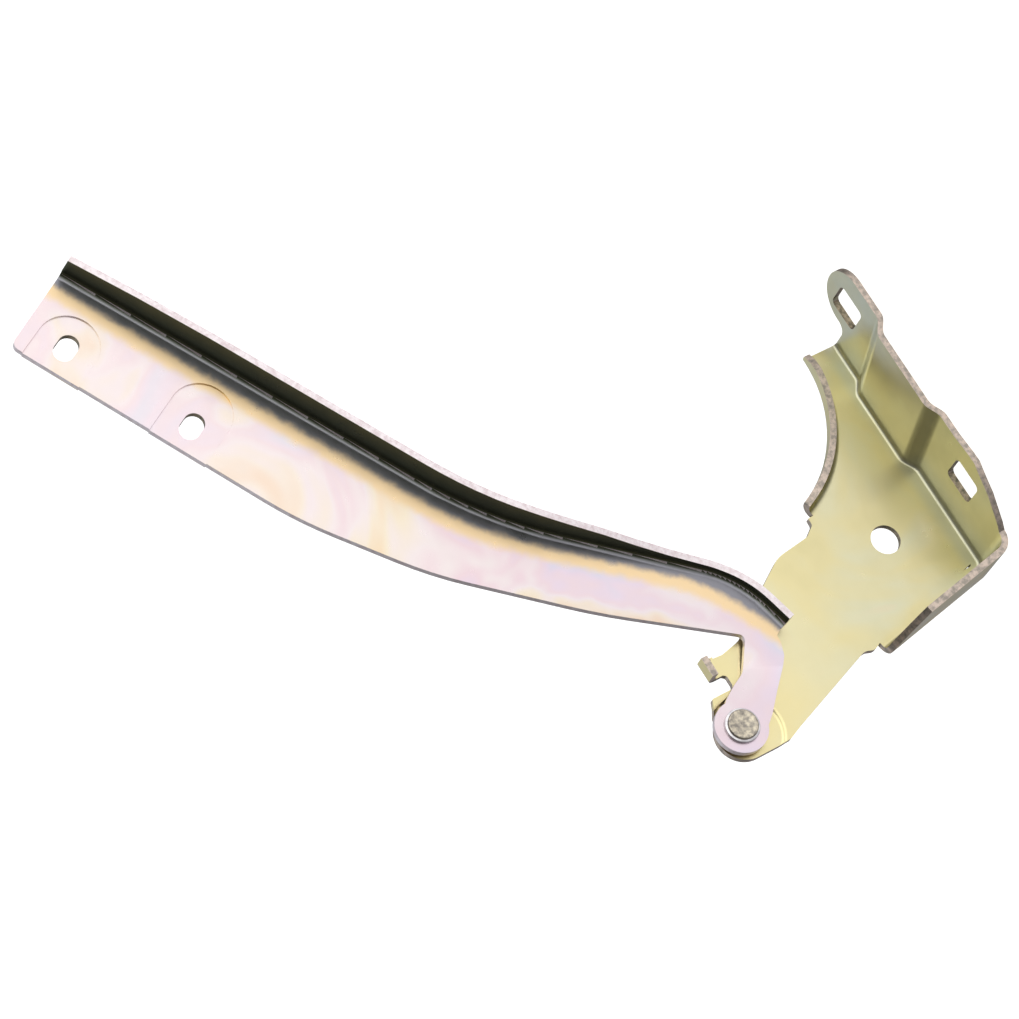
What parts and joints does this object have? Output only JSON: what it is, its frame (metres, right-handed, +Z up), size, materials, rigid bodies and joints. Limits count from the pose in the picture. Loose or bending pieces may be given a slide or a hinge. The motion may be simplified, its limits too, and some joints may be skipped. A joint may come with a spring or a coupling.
{
  "type": "hood hinge",
  "caption": "Pressed steel hood hinge: a flanged bracket with slotted feet carries a long flanged arm on a riveted pivot.",
  "frame": {"origin": "middle of the two slots of the body flange, on the flange's underside, which is the seat on the vehicle body", "axes": "+X along the body flange from the pivot end to the ear, +Y from the free edge of the body flange toward the upright plate, +Z up from the body; the pivot runs along Y"},
  "size_m": [0.3142, 0.0482, 0.3266],
  "materials": {
    "bracket_zinc": "yellow passivated zinc, fine scratches",
    "arm_zinc": "iridescent passivated zinc, satin",
    "bush_steel": "bright zinc",
    "spacer_steel": "satin",
    "rivet_steel": "pitted, dished by the rivet tool"
  },
  "bodies": {
    "base": {"bracket": "bracket_zinc", "spacer": "spacer_steel", "rivet": "rivet_steel"},
    "swing_arm": {"arm": "arm_zinc", "bush": "bush_steel"}
  },
  "joints": [
    {"name": "pivot", "type": "hinge", "parent": "base", "child": "swing_arm", "pos_m": [-0.09, 0.0225, 0.1415], "axis": [0, -1, 0], "range_deg": [-33, 26]}
  ]
}
